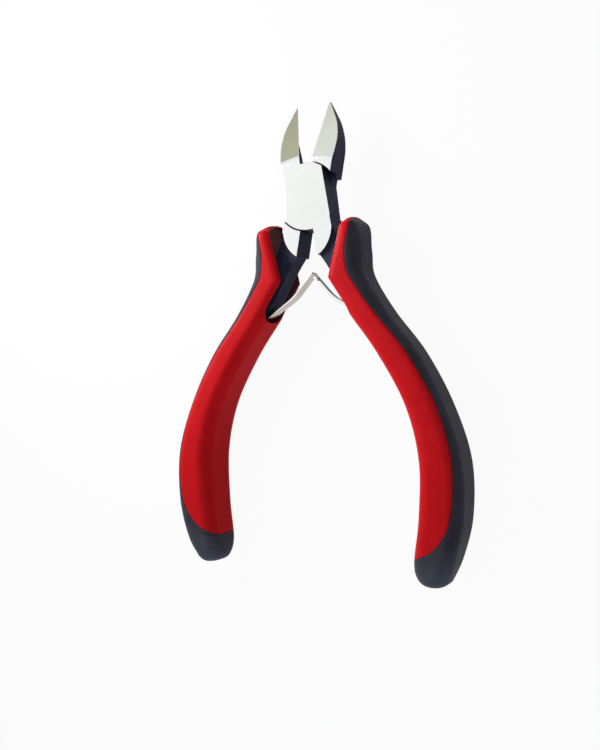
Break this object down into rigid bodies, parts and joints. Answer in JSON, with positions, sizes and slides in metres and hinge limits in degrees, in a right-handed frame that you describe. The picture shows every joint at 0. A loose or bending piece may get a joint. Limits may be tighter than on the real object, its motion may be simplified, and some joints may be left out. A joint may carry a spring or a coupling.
{
  "type": "side cutters",
  "caption": "Small side cutters with a riveted lap joint, ground cutting jaws, paired leaf springs between the shanks and curved two-colour grips.",
  "frame": {"origin": "on the pivot axis, at the joint's back face", "axes": "+Z along the pivot towards the front face, +Y towards the jaws, +X to the side of the front half's handle"},
  "size_m": [0.0794, 0.1172, 0.0133],
  "materials": {
    "tool_steel": "forged tool steel, ground bright on the front and back faces and blackened on the sides and shanks",
    "rivet_steel": "rivet ground flush with the joint",
    "spring_steel": "bright rolled spring strip",
    "red_plastic": "satin moulded plastic",
    "black_rubber": "soft matt moulding over the plastic"
  },
  "bodies": {
    "front": {"front_half": "tool_steel", "pivot_rivet": "rivet_steel", "right_grip_core": "red_plastic", "right_grip_cover": "black_rubber"},
    "back": {"back_half": "tool_steel", "left_grip_core": "red_plastic", "left_grip_cover": "black_rubber"},
    "right_leaf": {"right_leaf_spring": "spring_steel"},
    "left_leaf": {"left_leaf_spring": "spring_steel"}
  },
  "joints": [
    {"name": "pivot", "type": "hinge", "parent": "front", "child": "back", "pos_m": [0, 0, 0.00325], "axis": [0, 0, 1], "range_deg": [0, 21], "stiffness_Nm_per_rad": 1.4},
    {"name": "right_leaf_flex", "type": "hinge", "parent": "front", "child": "right_leaf", "pos_m": [0.01303, -0.02941, 0.00325], "axis": [0, 0, 1], "range_deg": [-15, 0]},
    {"name": "left_leaf_flex", "type": "hinge", "parent": "back", "child": "left_leaf", "pos_m": [-0.01303, -0.02941, 0.00325], "axis": [0, 0, 1], "range_deg": [0, 15]}
  ],
  "couplings": [
    {"joint": "right_leaf_flex", "follows": "pivot", "ratio": -0.6826},
    {"joint": "left_leaf_flex", "follows": "pivot", "ratio": 0.6826}
  ]
}
